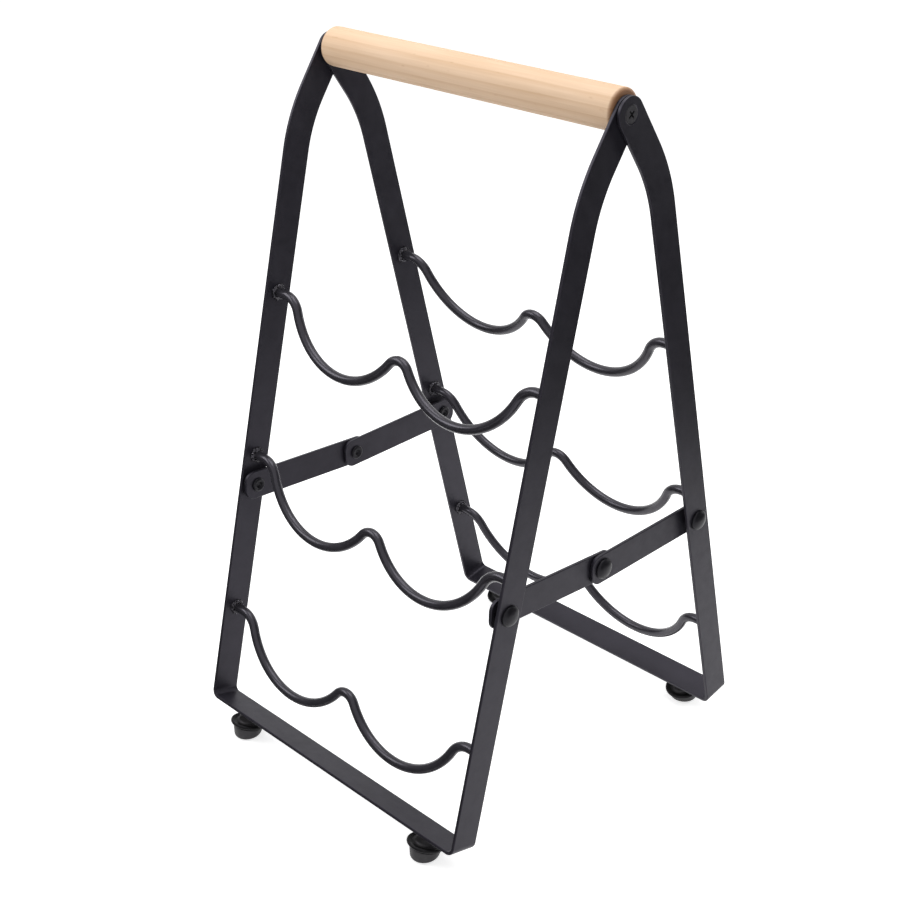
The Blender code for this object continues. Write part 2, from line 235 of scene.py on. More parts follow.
def noise(tree, scale, detail=3.0, stretch=(1, 1, 1)):
    # noise in metres on the piece's own coordinates, drawn out along an axis by a small stretch
    place = addNode(tree, "ShaderNodeTexCoord")
    mapping = addNode(tree, "ShaderNodeMapping", {"Scale": stretch})
    tree.links.new(place.outputs["Object"], mapping.inputs["Vector"])
    texture = addNode(tree, "ShaderNodeTexNoise", {"Scale": scale, "Detail": detail})
    tree.links.new(mapping.outputs["Vector"], texture.inputs["Vector"])
    return texture.outputs["Fac"]


def ramp(tree, source, stops):
    node = addNode(tree, "ShaderNodeValToRGB")
    elements = node.color_ramp.elements
    while len(elements) < len(stops):
        elements.new(0.5)
    for element, (place, colour) in zip(elements, stops):
        element.position = place
        element.color = (*colour, 1.0)
    tree.links.new(source, node.inputs["Fac"])
    return node.outputs["Color"]


def spread(tree, source, low, high):
    node = addNode(tree, "ShaderNodeMapRange", {
        "From Min": noiseLow,
        "From Max": noiseHigh,
        "To Min": low,
        "To Max": high,
    })
    tree.links.new(source, node.inputs["Value"])
    return node.outputs["Result"]


def bump(tree, shader, height, strength, distance, before=None):
    node = addNode(tree, "ShaderNodeBump", {"Strength": strength, "Distance": distance})
    tree.links.new(height, node.inputs["Height"])
    if before:
        tree.links.new(before.outputs["Normal"], node.inputs["Normal"])
    tree.links.new(node.outputs["Normal"], shader.inputs["Normal"])
    return node


glossPatchShare = 0.4  # the patches of gloss are coarser than the orange peel


def coatMaterial(name, look):
    # baked coat: a faint cloudiness, an orange peel, and a fine grit in it
    material, tree, shader = newMaterial(name)
    cloud = noise(tree, look["cloudScale"], detail=4.0)
    colour = ramp(tree, cloud, [(noiseLow, look["dark"]), (noiseHigh, look["light"])])
    tree.links.new(colour, shader.inputs["Base Color"])
    rough = noise(tree, look["peelScale"] * glossPatchShare)
    tree.links.new(spread(tree, rough, look["roughLow"], look["roughHigh"]), shader.inputs["Roughness"])
    shader.inputs["Specular IOR Level"].default_value = look["gloss"]
    shader.inputs["Specular Tint"].default_value = (*look["sheen"], 1.0)
    peel = bump(tree, shader, noise(tree, look["peelScale"], detail=2.0), look["peel"], look["peelDepth"])
    bump(tree, shader, noise(tree, look["gritScale"], detail=2.0), look["grit"], look["gritDepth"], peel)
    return material


barCoat = coatMaterial("barCoat", {
    "dark": (0.0125, 0.0117, 0.0158),
    "light": (0.018, 0.0169, 0.0228),
    "cloudScale": 60.0,
    "roughLow": 0.36,
    "roughHigh": 0.44,
    "gloss": 0.33,
    "sheen": (0.88, 0.82, 1.0),
    "peelScale": 420.0,
    "peel": 0.25,
    "peelDepth": 0.00012,
    "gritScale": 2400.0,
    "grit": 0.2,
    "gritDepth": 0.00004,
})
wireCoat = coatMaterial("wireCoat", {
    "dark": (0.022, 0.021, 0.0252),
    "light": (0.031, 0.0296, 0.0355),
    "cloudScale": 90.0,
    "roughLow": 0.2,
    "roughHigh": 0.27,
    "gloss": 0.42,
    "sheen": (0.9, 0.86, 1.0),
    "peelScale": 520.0,
    "peel": 0.2,
    "peelDepth": 0.0001,
    "gritScale": 2600.0,
    "grit": 0.15,
    "gritDepth": 0.00003,
})
weldCoat = coatMaterial("weldCoat", {
    "dark": (0.012, 0.0115, 0.013),
    "light": (0.026, 0.025, 0.028),
    "cloudScale": 300.0,
    "roughLow": 0.1,
    "roughHigh": 0.18,
    "gloss": 0.62,
    "sheen": (0.9, 0.86, 1.0),
    "peelScale": 700.0,
    "peel": 0.7,
    "peelDepth": 0.0004,
    "gritScale": 1800.0,
    "grit": 0.5,
    "gritDepth": 0.0001,
})
rivetCoat = coatMaterial("rivetCoat", {
    "dark": (0.009, 0.0087, 0.0103),
    "light": (0.0145, 0.014, 0.0167),
    "cloudScale": 200.0,
    "roughLow": 0.27,
    "roughHigh": 0.36,
    "gloss": 0.21,
    "sheen": (0.92, 0.9, 1.0),
    "peelScale": 600.0,
    "peel": 0.3,
    "peelDepth": 0.0001,
    "gritScale": 2600.0,
    "grit": 0.15,
    "gritDepth": 0.00003,
})
screwOxide = coatMaterial("screwOxide", {
    "dark": (0.032, 0.031, 0.034),
    "light": (0.046, 0.0445, 0.048),
    "cloudScale": 500.0,
    "roughLow": 0.34,
    "roughHigh": 0.46,
    "gloss": 0.5,
    "sheen": (0.97, 0.93, 1.0),
    "peelScale": 900.0,
    "peel": 0.2,
    "peelDepth": 0.00005,
    "gritScale": 3000.0,
    "grit": 0.2,
    "gritDepth": 0.00003,
})
# painted shade: the foot's own rubber made darker, for the shade that falls on the feet's rims
paintedRimShade = coatMaterial("paintedRimShade", {
    "dark": (0.0045, 0.0044, 0.0047),
    "light": (0.008, 0.0078, 0.0083),
    "cloudScale": 160.0,
    "roughLow": 0.38,
    "roughHigh": 0.5,
    "gloss": 0.16,
    "sheen": (0.97, 0.93, 1.0),
    "peelScale": 900.0,
    "peel": 0.2,
    "peelDepth": 0.00008,
    "gritScale": 3000.0,
    "grit": 0.3,
    "gritDepth": 0.00004,
})
footRubber = coatMaterial("footRubber", {
    "dark": (0.012, 0.0118, 0.012),
    "light": (0.019, 0.0186, 0.0192),
    "cloudScale": 160.0,
    "roughLow": 0.46,
    "roughHigh": 0.6,
    "gloss": 0.45,
    "sheen": (0.97, 0.93, 1.0),
    "peelScale": 900.0,
    "peel": 0.2,
    "peelDepth": 0.00008,
    "gritScale": 3000.0,
    "grit": 0.3,
    "gritDepth": 0.00004,
})


def zincMaterial(look):
    material, tree, shader = newMaterial("zincPlate")
    spangle = noise(tree, look["spangleScale"], detail=2.0)
    colour = ramp(tree, spangle, [(look["darkUpTo"], look["dark"]), (look["lightFrom"], look["light"])])
    tree.links.new(colour, shader.inputs["Base Color"])
    tree.links.new(spread(tree, spangle, look["roughLow"], look["roughHigh"]), shader.inputs["Roughness"])
    shader.inputs["Metallic"].default_value = 1.0
    bump(tree, shader, noise(tree, look["grainScale"], detail=2.0), look["grain"], look["grainDepth"])
    return material


zincPlate = zincMaterial({
    "dark": (0.48, 0.48, 0.5),
    "darkUpTo": 0.35,
    "light": (0.6, 0.6, 0.62),
    "lightFrom": 0.65,
    "spangleScale": 700.0,
    "grainScale": 2100.0,
    "grain": 0.2,
    "grainDepth": 0.00005,
    "roughLow": 0.28,
    "roughHigh": 0.42,
})


def pineMaterial(look):
    # growth rings about a pith beside the dowel, drawn out along it, with fine fibres and a few flecks, and
    # painted shade darkening the wood towards both ends where it meets the legs
    material, tree, shader = newMaterial("palePine")
    place = addNode(tree, "ShaderNodeTexCoord")
    drawn = addNode(tree, "ShaderNodeMapping", {"Location": look["pith"], "Scale": look["ringStretch"]})
    tree.links.new(place.outputs["Object"], drawn.inputs["Vector"])
    rings = addNode(tree, "ShaderNodeTexWave", {
        "Scale": look["ringScale"],
        "Distortion": look["ringWander"],
        "Detail": 2.0,
        "Detail Scale": look["wanderScale"],
    }, wave_type="RINGS", rings_direction="X", wave_profile="SAW")
    tree.links.new(drawn.outputs["Vector"], rings.inputs["Vector"])
    growth = ramp(tree, rings.outputs["Fac"], [
        (0.0, look["early"]),
        (look["lateStart"], look["early"]),
        (look["latePeak"], look["late"]),
        (1.0, look["early"]),
    ])
    fibre = noise(tree, look["fibreScale"], detail=4.0, stretch=look["fibreStretch"])
    fibreTone = ramp(tree, fibre, [(noiseLow, look["fibreDark"]), (noiseHigh, white)])
    patch = noise(tree, look["patchScale"], detail=2.0, stretch=look["patchStretch"])
    patchTone = ramp(tree, patch, [(noiseLow, look["patchDark"]), (noiseHigh, white)])
    fleck = noise(tree, look["fleckScale"], detail=1.0, stretch=look["fleckStretch"])
    fleckTone = ramp(tree, fleck, [(0.0, look["fleckDark"]), (look["fleckShare"], white)])
    # painted shade: the wood darkens over the last round edge at each end, where the dowel meets the legs
    across = addNode(tree, "ShaderNodeSeparateXYZ")
    tree.links.new(place.outputs["Object"], across.inputs["Vector"])
    reach = addNode(tree, "ShaderNodeMath", operation="ABSOLUTE")
    tree.links.new(across.outputs["X"], reach.inputs[0])
    nearEnd = addNode(tree, "ShaderNodeMapRange", {
        "From Min": look["endStart"],
        "From Max": look["endFinish"],
    })
    tree.links.new(reach.outputs[0], nearEnd.inputs["Value"])
    paintedEndShade = ramp(tree, nearEnd.outputs["Result"], [(0.0, white), (1.0, look["paintedEndShade"])])
    colour = growth
    for tone in (fibreTone, patchTone, fleckTone, paintedEndShade):
        mix = addNode(tree, "ShaderNodeMix", data_type="RGBA", blend_type="MULTIPLY")
        mix.inputs["Factor"].default_value = 1.0
        tree.links.new(colour, mix.inputs["A"])
        tree.links.new(tone, mix.inputs["B"])
        colour = mix.outputs["Result"]
    tree.links.new(colour, shader.inputs["Base Color"])
    tree.links.new(spread(tree, fibre, look["roughHigh"], look["roughLow"]), shader.inputs["Roughness"])
    shader.inputs["Specular IOR Level"].default_value = look["gloss"]
    bump(tree, shader, fibre, look["fibreBump"], look["fibreDepth"])
    return material


palePine = pineMaterial({
    "early": (0.845, 0.62, 0.44),
    "late": (0.775, 0.545, 0.365),
    "lateStart": 0.55,
    "latePeak": 0.9,
    "pith": (0.0, 0.03, 0.02),
    "ringStretch": (0.05, 1.0, 1.0),
    "ringScale": 60.0,
    "ringWander": 3.0,
    "wanderScale": 0.6,
    "fibreDark": (0.93, 0.91, 0.88),
    "fibreScale": 900.0,
    "fibreStretch": (0.03, 1.0, 1.0),
    "fibreBump": 0.35,
    "fibreDepth": 0.00012,
    "patchDark": (0.95, 0.93, 0.9),
    "patchScale": 90.0,
    "patchStretch": (0.15, 1.0, 1.0),
    "fleckDark": (0.7, 0.58, 0.45),
    "fleckScale": 420.0,
    "fleckStretch": (0.3, 1.0, 1.0),
    "fleckShare": 0.3,
    # where the painted shade at the dowel's ends begins and ends, and how dark it gets
    "endStart": 0.1176,
    "endFinish": 0.1197,
    "paintedEndShade": (0.5, 0.36, 0.28),
    "roughLow": 0.5,
    "roughHigh": 0.62,
    "gloss": 0.15,
})
print("materials ready")


def finish(piece, material, body, slotName, *nodes):
    if not piece.data.materials:
        piece.data.materials.append(material)
    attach(piece, body)
    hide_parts(*nodes)


# frames: flat bar, bent up at the two corners and in at the shoulders

frameBar = {
    "cornerInnerRadius": 0.0036,
    "cornerSteps": 12,
    "shoulderRadius": 0.106,
    "shoulderSteps": 28,
    "topSteps": 14,
    "topShare": 0.998,
    "edgeRound": 0.00045,
    "edgeSteps": 3,
    "edgeAngle": 50.0,
    "rivetHole": 0.0033,
    "screwHole": 0.0027,
    "countersink": 0.0055,
    "holeSides": 48,
}


def addCylinder(radius, depth, place, sides, otherRadius=None):
    bpy.ops.object.select_all(action="DESELECT")
    far = radius if otherRadius is None else otherRadius
    bpy.ops.mesh.primitive_cone_add(vertices=sides, radius1=radius, radius2=far, depth=depth,
                                    location=place, rotation=quarterTurn)
    return settle(nameIt("cutter"))


def roundEnds(bar):
    # the chosen short edges become a half circle across the bar
    bpy.ops.mesh.bevel(offset=halfWidth * bar["topShare"], segments=bar["topSteps"], affect="EDGES",
                       clamp_overlap=False)
    bpy.ops.mesh.select_all(action="SELECT")
    bpy.ops.mesh.remove_doubles(threshold=touch)
    bpy.ops.mesh.normals_make_consistent(inside=False)


def roundEdges(piece, bar):
    addModifier(piece, "BEVEL", width=bar["edgeRound"], segments=bar["edgeSteps"],
                limit_method="ANGLE", angle_limit=math.radians(bar["edgeAngle"]), use_clamp_overlap=False)
    applyModifiers(piece)


def makeFrame(name, bar):
    thickness = rack["barThickness"]
    corner = halfLength - thickness - bar["cornerInnerRadius"]
    top = Vector((0, rack["baseReach"], rack["apexHeight"] - rack["barTopHeight"]))
    apex = Vector((0, top.y * math.cos(lean) - top.z * math.sin(lean),
                   top.y * math.sin(lean) + top.z * math.cos(lean)))
    turn = math.atan2(apex.y, apex.z - shoulderUp)
    tangent = bar["shoulderRadius"] * math.tan(turn / 2)
    topRun = math.hypot(apex.y, apex.z - shoulderUp) - tangent + halfWidth
    upward = Vector((0, math.sin(turn), math.cos(turn)))

    # half of the bottom bar, then round the corner, up the leg, round the shoulder, and up to the handle
    bpy.ops.object.select_all(action="DESELECT")
    bpy.ops.mesh.primitive_cube_add(size=1, location=(-corner / 2, 0, -thickness / 2),
                                    scale=(corner, rack["barWidth"], thickness))
    piece = settle(nameIt(name))
    openMesh(piece)
    chooseFaces(lambda place, facing: facing.x > facingShare)
    bpy.ops.mesh.delete(type="FACE")
    chooseFaces(lambda place, facing: facing.x < -facingShare)
    bpy.ops.mesh.spin(steps=bar["cornerSteps"], angle=-math.pi / 2, axis=(0, 1, 0),
                      center=(-corner, 0, bar["cornerInnerRadius"]))
    legRunUp = shoulderUp - tangent - bar["cornerInnerRadius"]
    bpy.ops.mesh.extrude_region_move(TRANSFORM_OT_translate={"value": (0, 0, legRunUp)})
    bpy.ops.mesh.spin(steps=bar["shoulderSteps"], angle=turn, axis=(1, 0, 0),
                      center=(0, bar["shoulderRadius"], shoulderUp - tangent))
    bpy.ops.mesh.extrude_region_move(TRANSFORM_OT_translate={"value": upward * topRun})

    # the two short edges at the top make its round end
    end = (apex + upward * halfWidth).dot(upward)
    chooseEdges(lambda place, way: place.dot(upward) > end - touch and abs(way.x) > facingShare)
    roundEnds(bar)
    closeMesh()
    addModifier(piece, "MIRROR", merge_threshold=seam)
    roundEdges(piece, bar)

    # holes for the rivets and the handle's screws, the outer leg's one countersunk
    sides = bar["holeSides"]
    legX = halfLength - thickness / 2
    cutters = [
        addCylinder(bar["rivetHole"], cutterLength, (-legX, 0, rack["rivetHeight"]), sides),
        addCylinder(bar["rivetHole"], cutterLength, (legX, 0, rack["rivetHeight"]), sides),
        addCylinder(bar["screwHole"], cutterLength, (-legX, apex.y, apex.z), sides),
        addCylinder(bar["screwHole"], cutterLength, (legX, apex.y, apex.z), sides),
    ]
    depth = thickness - rack["fitGap"]
    slope = (bar["countersink"] - bar["screwHole"]) / depth
    over = rack["fitGap"]
    cutters.append(addCylinder(bar["countersink"] + slope * over, depth + over,
                               (-halfLength + (depth - over) / 2, apex.y, apex.z), sides, bar["screwHole"]))
    cutAway(piece, cutters)
    smooth(piece)
    return standUp(piece)


frontFrame = makeFrame("frontFrame", frameBar)
rearFrame = copyPiece(frontFrame, "rearFrame", turn=halfTurn)
finish(frontFrame, barCoat, "front", "bar_coat", "front_frame")
finish(rearFrame, barCoat, "rear", "bar_coat", "rear_frame")
print("frames ready")


# cradles: round wire in three bends to each scallop, welded to the legs

cradle = {
    "wireRadius": 0.0032,
    "sides": 28,
    "start": 0.0663,
    "pitch": 0.1126,
    "stubLength": 0.0083,
    "scallopDepth": 0.0382,
    "crestDepth": 0.0131,
    "shoulderBend": 0.015,
    "crestBend": 0.0106,
    "shoulderSteps": 12,
    "scallopSteps": 30,
    "crestSteps": 12,
    "smoothAngle": 40,
}
weld = {
    "ringRadius": 0.0037,
    "thickness": 0.0016,
    "ringSides": 44,
    "sides": 16,
    "dropletStep": 9,
    "dropletSwell": 1.3,
    "dropletShare": 0.6,
    "lumpSize": 0.0017,
    "lumpHeight": 0.0024,
    "sink": 0.00015,
    "smoothAngle": 60,
    "turns": {"bottom": (0.4, 2.1), "middle": (2.9, 4.6), "top": (5.3, 1.2)},
}


def makeWire(name, wire):
    face = -halfLength + rack["barThickness"] + rack["fitGap"]
    start = face + wire["stubLength"]
    depth, crest = wire["scallopDepth"], wire["crestDepth"]
    shoulder, peak = wire["shoulderBend"], wire["crestBend"]
    rise = depth - crest

    # the scallop's radius follows from its depth, its crest and the length that two of them fill
    a = 1 / depth - 1 / rise
    b = -2 * start / rise
    c = depth - rise + 2 * (peak - shoulder) - start ** 2 / rise
    run = -2 * c / (b + math.sqrt(b * b - 4 * a * c))
    outerTurn = 2 * math.atan2(depth, run)
    crestTurn = 2 * math.atan2(rise, -start - run)
    radius = run / math.sin(outerTurn) - shoulder
    reach = shoulder + radius
    middle = (start + reach * math.sin(outerTurn), 0, -shoulder + reach * math.cos(outerTurn))

    bpy.ops.object.select_all(action="DESELECT")
    bpy.ops.mesh.primitive_circle_add(vertices=wire["sides"], radius=wire["wireRadius"],
                                      location=(face, 0, 0), rotation=quarterTurn)
    piece = settle(nameIt(name))
    openMesh(piece)
    bpy.ops.mesh.select_all(action="SELECT")
    bpy.ops.mesh.extrude_region_move(TRANSFORM_OT_translate={"value": (wire["stubLength"], 0, 0)})
    bpy.ops.mesh.spin(steps=wire["shoulderSteps"], angle=-outerTurn, axis=(0, 1, 0),
                      center=(start, 0, -shoulder))
    bpy.ops.mesh.spin(steps=wire["scallopSteps"], angle=outerTurn + crestTurn, axis=(0, 1, 0),
                      center=middle)
    bpy.ops.mesh.spin(steps=wire["crestSteps"], angle=-crestTurn, axis=(0, 1, 0),
                      center=(0, 0, -crest - peak))
    closeMesh()
    addModifier(piece, "MIRROR", merge_threshold=seam)
    applyModifiers(piece)
    openMesh(piece)
    closeHoles()
    closeMesh()
    piece.data.materials.append(wireCoat)
    smooth(piece, wire["smoothAngle"])
    return piece


def makeWeld(name, bead):
    # a ring of droplets round the wire's end, cut flat where it sits on the leg
    bpy.ops.object.select_all(action="DESELECT")
    bpy.ops.mesh.primitive_torus_add(major_radius=bead["ringRadius"], minor_radius=bead["thickness"],
                                     major_segments=bead["ringSides"], minor_segments=bead["sides"],
                                     rotation=quarterTurn)
    piece = settle(nameIt(name))
    openMesh(piece)
    step = 2 * math.pi / bead["ringSides"]
    for k in range(0, bead["ringSides"], bead["dropletStep"]):
        angle = k * step
        spoke = Vector((0, math.cos(angle), math.sin(angle)))
        chooseEdges(lambda place, way: place.dot(spoke) > 0
                    and abs(place.cross(spoke).x) < bead["ringRadius"] * step * bead["dropletShare"])
        swell = bead["dropletSwell"]
        bpy.ops.transform.resize(value=(swell, swell, swell), center_override=spoke * bead["ringRadius"])
    closeMesh()
    lumps = bpy.data.textures.new("weldLumps", "CLOUDS")
    lumps.noise_scale = bead["lumpSize"]
    addModifier(piece, "SUBSURF", levels=1, render_levels=1)
    addModifier(piece, "DISPLACE", texture=lumps, strength=bead["lumpHeight"], mid_level=0.5,
                texture_coords="LOCAL")
    applyModifiers(piece)
    openMesh(piece)
    bpy.ops.mesh.select_all(action="SELECT")
    bpy.ops.mesh.bisect(plane_co=(-bead["sink"], 0, 0), plane_no=(1, 0, 0), use_fill=True,
                        clear_inner=True)
    closeMesh()
    piece.data.materials.append(weldCoat)
    smooth(piece, bead["smoothAngle"])
    return piece


wireMaster = makeWire("wireMaster", cradle)
weldMaster = makeWeld("weldMaster", weld)
weldX = -halfLength + rack["barThickness"]
for k, level in enumerate(("bottom", "middle", "top")):
    up = cradle["start"] + cradle["pitch"] * k
    leftTurn, rightTurn = weld["turns"][level]
    wire = copyPiece(wireMaster, "frontCradle" + level.title(), (0, 0, up))
    left = copyPiece(weldMaster, "bead", (weldX, 0, up), (leftTurn, 0, 0))
    right = copyPiece(weldMaster, "bead", (-weldX, 0, up), (rightTurn, 0, math.pi))
    pick(wire)
    left.select_set(True)
    right.select_set(True)
    bpy.ops.object.join()
    standUp(wire)
    rear = copyPiece(wire, "rearCradle" + level.title(), turn=halfTurn)
    finish(wire, wireCoat, "front", "wire_coat", "front_cradle_" + level)
    finish(rear, wireCoat, "rear", "wire_coat", "rear_cradle_" + level)
discard(wireMaster, weldMaster)
print("cradles ready")


# stays: flat bar with rounded corners and a hole at each end, from a leg's rivet to the middle one

stay = {
    "sag": 0.0037,
    "cornerRadius": 0.007,
    "cornerSteps": 12,
    "edgeRound": 0.00045,
    "edgeSteps": 3,
    "edgeAngle": 50.0,
    "hole": 0.0033,
    "holeSides": 48,
}
rivetPlace = onLeg(0, rack["rivetHeight"])
stayLength = math.hypot(rivetPlace.y, stay["sag"])
stayPitch = -math.atan2(stay["sag"], -rivetPlace.y)


def makeStay(name, bar):
    thickness = rack["barThickness"]
    bpy.ops.object.select_all(action="DESELECT")
    bpy.ops.mesh.primitive_cube_add(size=1, location=(thickness / 2, stayLength / 2, 0),
                                    scale=(thickness, stayLength + rack["barWidth"], rack["barWidth"]))
    piece = settle(nameIt(name))
    openMesh(piece)
    chooseEdges(lambda place, way: abs(way.x) > facingShare)
    bpy.ops.mesh.bevel(offset=bar["cornerRadius"], segments=bar["cornerSteps"], affect="EDGES")
    closeMesh()
    roundEdges(piece, bar)
    cutAway(piece, [
        addCylinder(bar["hole"], cutterLength, (thickness / 2, 0, 0), bar["holeSides"]),
        addCylinder(bar["hole"], cutterLength, (thickness / 2, stayLength, 0), bar["holeSides"]),
    ])
    smooth(piece)
    return piece


stayMaster = makeStay("stayMaster", stay)
outer = frameShift - halfLength
inner = frameShift + halfLength
nearStayX = outer + rack["barThickness"] + collarStep
farStayX = inner - rack["barThickness"] * 2 - collarStep
stayTilt = (stayPitch, 0, 0)
nearPlace = (nearStayX, rivetPlace.y, rivetPlace.z)
farPlace = (farStayX, rivetPlace.y, rivetPlace.z)
stayFrontLeft = copyPiece(stayMaster, "stayFrontLeft", nearPlace, stayTilt)
stayFrontRight = copyPiece(stayMaster, "stayFrontRight", farPlace, stayTilt)
stayRearRight = copyPiece(stayFrontLeft, "stayRearRight", turn=halfTurn)
stayRearLeft = copyPiece(stayFrontRight, "stayRearLeft", turn=halfTurn)
finish(stayFrontLeft, barCoat, "stay_front_left", "bar_coat", "front_stay_left")
finish(stayFrontRight, barCoat, "stay_front_right", "bar_coat", "front_stay_right")
finish(stayRearRight, barCoat, "stay_rear_right", "bar_coat", "rear_stay_right")
finish(stayRearLeft, barCoat, "stay_rear_left", "bar_coat", "rear_stay_left")
discard(stayMaster)
print("stays ready")


# rivets: domed head, a collar between leg and stay, and a tail rolled over into a ring with a hollow in it

rivet = {
    "sides": 48,
    "shankRadius": 0.003,
    "collarRadius": 0.0055,
    "collarEdge": 0.0003,
    "headRadius": 0.0068,
    "headHeight": 0.003,
    "rimHeight": 0.0004,
    "rimShare": 0.985,
    "poleShare": 0.06,
    "headSteps": 10,
    "tailRadius": 0.0048,
    "tailHeight": 0.0014,
    "tailEdge": 0.0002,
    "tailWallShare": 0.3,
    "tailSteps": 10,
    "hollowRadius": 0.0022,
    "hollowShares": (0.8, 0.35),
    "hollowDepth": 0.0004,
    "smoothAngle": 42,
}


def headRings(face, shape):
    # from the dome's pole back to the shank, the face at that X, the head towards -X
    rings = []
    base = face - rack["fitGap"] - shape["rimHeight"]
    rise = shape["headHeight"] - shape["rimHeight"]
    pole = shape["poleShare"]
    for step in range(shape["headSteps"] + 1):
        angle = math.pi / 2 * (pole + (1 - pole) * step / shape["headSteps"])
        rings.append((base - rise * math.cos(angle), shape["headRadius"] * math.sin(angle)))
    rings.append((face - rack["fitGap"], shape["headRadius"] * shape["rimShare"]))
    rings.append((face - rack["fitGap"], shape["shankRadius"]))
    return rings


def tailRings(face, shape):
    # from the shank out, over the rolled rim and down into the hollow, the tail towards +X
    start = face + rack["fitGap"]
    rings = [(start, shape["shankRadius"]), (start, shape["tailRadius"] - shape["tailEdge"])]
    middle = (shape["tailRadius"] + shape["hollowRadius"]) / 2
    half = (shape["tailRadius"] - shape["hollowRadius"]) / 2
    wall = shape["tailWallShare"]
    for step in range(shape["tailSteps"] + 1):
        angle = math.pi * step / shape["tailSteps"]
        height = shape["tailHeight"] * (wall + (1 - wall) * math.sin(angle))
        rings.append((start + height, middle + half * math.cos(angle)))
    nearShare, deepShare = shape["hollowShares"]
    rings.append((start, shape["hollowRadius"] * nearShare))
    rings.append((start - shape["hollowDepth"], shape["hollowRadius"] * deepShare))
    return rings


def collarRings(shape):
    # between the leg's inner face and the stay
    start = rack["barThickness"] + rack["fitGap"]
    end = start + rack["collarThickness"]
    shank, collar, edge = shape["shankRadius"], shape["collarRadius"], shape["collarEdge"]
    return [(start, shank), (start, collar - edge), (start + edge, collar),
            (end - edge, collar), (end, collar - edge), (end, shank)]


def makeRivets(shape):
    grip = rack["barThickness"] * 2 + collarStep
    rings = headRings(0, shape) + collarRings(shape) + tailRings(grip, shape)
    whole = ringByRing("rivetMaster", shape["sides"], rings)
    half = rack["barThickness"] + rack["fitGap"] / 2
    head = ringByRing("headMaster", shape["sides"], headRings(0, shape) + [(half, shape["shankRadius"])])
    tail = ringByRing("tailMaster", shape["sides"],
                      [(-half, shape["shankRadius"])] + tailRings(0, shape))
    for piece in (whole, head, tail):
        smooth(piece, shape["smoothAngle"])
    return whole, head, tail


wholeRivet, headHalf, tailHalf = makeRivets(rivet)
pivotZ = rivetPlace.z - stay["sag"]
frontLegRivetLeft = copyPiece(wholeRivet, "frontLegRivetLeft", (outer, rivetPlace.y, rivetPlace.z))
frontLegRivetRight = copyPiece(wholeRivet, "frontLegRivetRight",
                               (inner, rivetPlace.y, rivetPlace.z), halfTurn)
rearLegRivetRight = copyPiece(frontLegRivetLeft, "rearLegRivetRight", turn=halfTurn)
rearLegRivetLeft = copyPiece(frontLegRivetRight, "rearLegRivetLeft", turn=halfTurn)
pivotHeadLeft = copyPiece(headHalf, "pivotHeadLeft", (nearStayX, 0, pivotZ))
pivotHeadRight = copyPiece(pivotHeadLeft, "pivotHeadRight", turn=halfTurn)
pivotTailRight = copyPiece(tailHalf, "pivotTailRight", (farStayX, 0, pivotZ), halfTurn)
pivotTailLeft = copyPiece(pivotTailRight, "pivotTailLeft", turn=halfTurn)
finish(frontLegRivetLeft, rivetCoat, "front", "rivet_coat", "front_leg_rivet_left")
finish(frontLegRivetRight, rivetCoat, "front", "rivet_coat", "front_leg_rivet_right")
finish(rearLegRivetRight, rivetCoat, "rear", "rivet_coat", "rear_leg_rivet_right")
finish(rearLegRivetLeft, rivetCoat, "rear", "rivet_coat", "rear_leg_rivet_left")
finish(pivotHeadLeft, rivetCoat, "stay_front_left", "rivet_coat", "pivot_rivet_head_left")
finish(pivotHeadRight, rivetCoat, "stay_rear_right", "rivet_coat", "pivot_rivet_head_right")
finish(pivotTailRight, rivetCoat, "stay_front_right", "rivet_coat", "pivot_rivet_tail_right")
finish(pivotTailLeft, rivetCoat, "stay_rear_left", "rivet_coat", "pivot_rivet_tail_left")
discard(wholeRivet, headHalf, tailHalf)
print("rivets ready")


# handle: a dowel with round edges at its ends, its middle a little above the screws

handle = {
    "radius": 0.0122,
    "rise": 0.0013,
    "edge": 0.0022,
    "sides": 72,
    "edgeSteps": 5,
    "pilot": 0.0027,
    "pilotDepth": 0.027,
    "pilotSides": 32,
    "cutOver": 0.0005,
}
handleEnd = halfLength - frameShift - layerStep - rack["barThickness"] - rack["fitGap"]


def makeHandle(name, dowel):
    piece = addCylinder(dowel["radius"], handleEnd * 2, (0, 0, 0), dowel["sides"])
    piece.name = name
    piece.data.name = name
    openMesh(piece)
    chooseEdges(lambda place, way: abs(place.x) > handleEnd - touch)
    bpy.ops.mesh.bevel(offset=dowel["edge"], segments=dowel["edgeSteps"], affect="EDGES")
    closeMesh()
    reach = handleEnd - dowel["pilotDepth"] / 2 + dowel["cutOver"]
    rise = dowel["rise"]
    sides = dowel["pilotSides"]
    cutAway(piece, [
        addCylinder(dowel["pilot"], dowel["pilotDepth"], (-reach, 0, -rise), sides),
        addCylinder(dowel["pilot"], dowel["pilotDepth"], (reach, 0, -rise), sides),
    ])
    smooth(piece)
    piece.location = (0, 0, rack["apexHeight"] + rise)
    return settle(piece)


dowel = makeHandle("dowel", handle)
finish(dowel, palePine, "front", "handle_wood", "handle")
print("handle ready")


# screws: flush countersunk heads with a cross recess

screw = {
    "sides": 48,
    "headRadius": 0.005,
    "headEdge": 0.00025,
    "edgeInShares": (2.0, 0.6),
    "edgeDownShare": 0.3,
    "shankRadius": 0.0024,
    "length": 0.032,
    "point": 0.005,
    "pointShare": 0.25,
    "recessLength": 0.0058,
    "recessWidth": 0.0013,
    "recessDepth": 0.0019,
    "recessFloor": 0.8,
    "recessTurn": 7.0,
}


